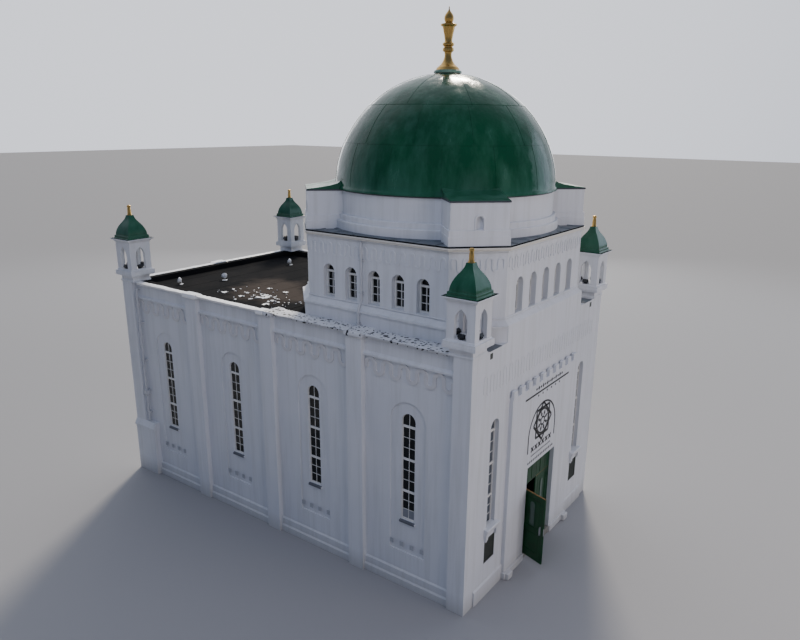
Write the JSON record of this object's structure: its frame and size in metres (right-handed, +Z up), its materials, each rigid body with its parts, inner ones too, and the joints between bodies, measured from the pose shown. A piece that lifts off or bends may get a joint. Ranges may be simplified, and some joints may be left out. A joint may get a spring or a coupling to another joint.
{
  "type": "mosque",
  "caption": "Small urban mosque: white rendered hall with arched windows, corner turrets, a chamfered tower, a drum and a green dome, and double doors that open.",
  "frame": {"origin": "middle of the footprint's box, at the foot of the walls", "axes": "-Y is the entrance front and +Y the rear, +X is to the right seen from the front, +Z is up"},
  "size_m": [8.13, 14.2326, 14.7103],
  "materials": {
    "render": "smooth cement render, painted white and a little weathered",
    "concrete": "floated concrete",
    "roof_felt": "bituminous felt with mineral dust",
    "green_sheet": "glossy dark green coating on moulded sheet",
    "gilt": "gold-coloured metal, satin",
    "door_timber": "timber painted dark green, semi-gloss",
    "window_timber": "timber painted white, around clear glass",
    "glass": "clear window glass over a dim room",
    "pipe": "grey plastic rainwater goods"
  },
  "bodies": {
    "building": {"floor_slab": "concrete", "left_wall": "render", "right_wall": "render", "rear_wall": "render", "front_wall_left": "render", "front_wall_right": "render", "front_wall_over_door": "render", "portal_merlons": "render", "door_frame": "door_timber", "main_roof": "roof_felt", "tower_roof": "roof_felt", "dome": "green_sheet", "dome_finial": "gilt", "tower_downpipe": "pipe", "corner_downpipe": "pipe", "left_window_1": "window_timber", "right_window_1": "window_timber", "left_window_2": "window_timber", "right_window_2": "window_timber", "left_window_3": "window_timber", "right_window_3": "window_timber", "left_window_4": "window_timber", "right_window_4": "window_timber", "rear_window_1": "window_timber", "rear_window_2": "window_timber", "front_window_left": "window_timber", "front_window_right": "window_timber", "tower_front_wall": "render", "tower_front_glazing": "glass", "tower_right_wall": "render", "tower_right_glazing": "glass", "tower_rear_wall": "render", "tower_rear_glazing": "glass", "tower_left_wall": "render", "tower_left_glazing": "glass", "drum_rear_right": "render", "turret_rear_right": "render", "turret_roof_rear_right": "green_sheet", "drum_rear_left": "render", "turret_rear_left": "render", "turret_roof_rear_left": "green_sheet", "drum_front_left": "render", "turret_front_left": "render", "turret_roof_front_left": "green_sheet", "drum_front_right": "render", "turret_front_right": "render", "turret_roof_front_right": "green_sheet"},
    "door_left": {"door_leaf_left": "door_timber"},
    "door_right": {"door_leaf_right": "door_timber"}
  },
  "joints": [
    {"name": "door_left_hinge", "type": "hinge", "parent": "building", "child": "door_left", "pos_m": [-0.8125, -6.3307, 1.2], "axis": [0, 0, 1], "range_deg": [0, 108]},
    {"name": "door_right_hinge", "type": "hinge", "parent": "building", "child": "door_right", "pos_m": [0.8125, -6.3307, 1.2], "axis": [0, 0, 1], "range_deg": [0, 108]}
  ]
}
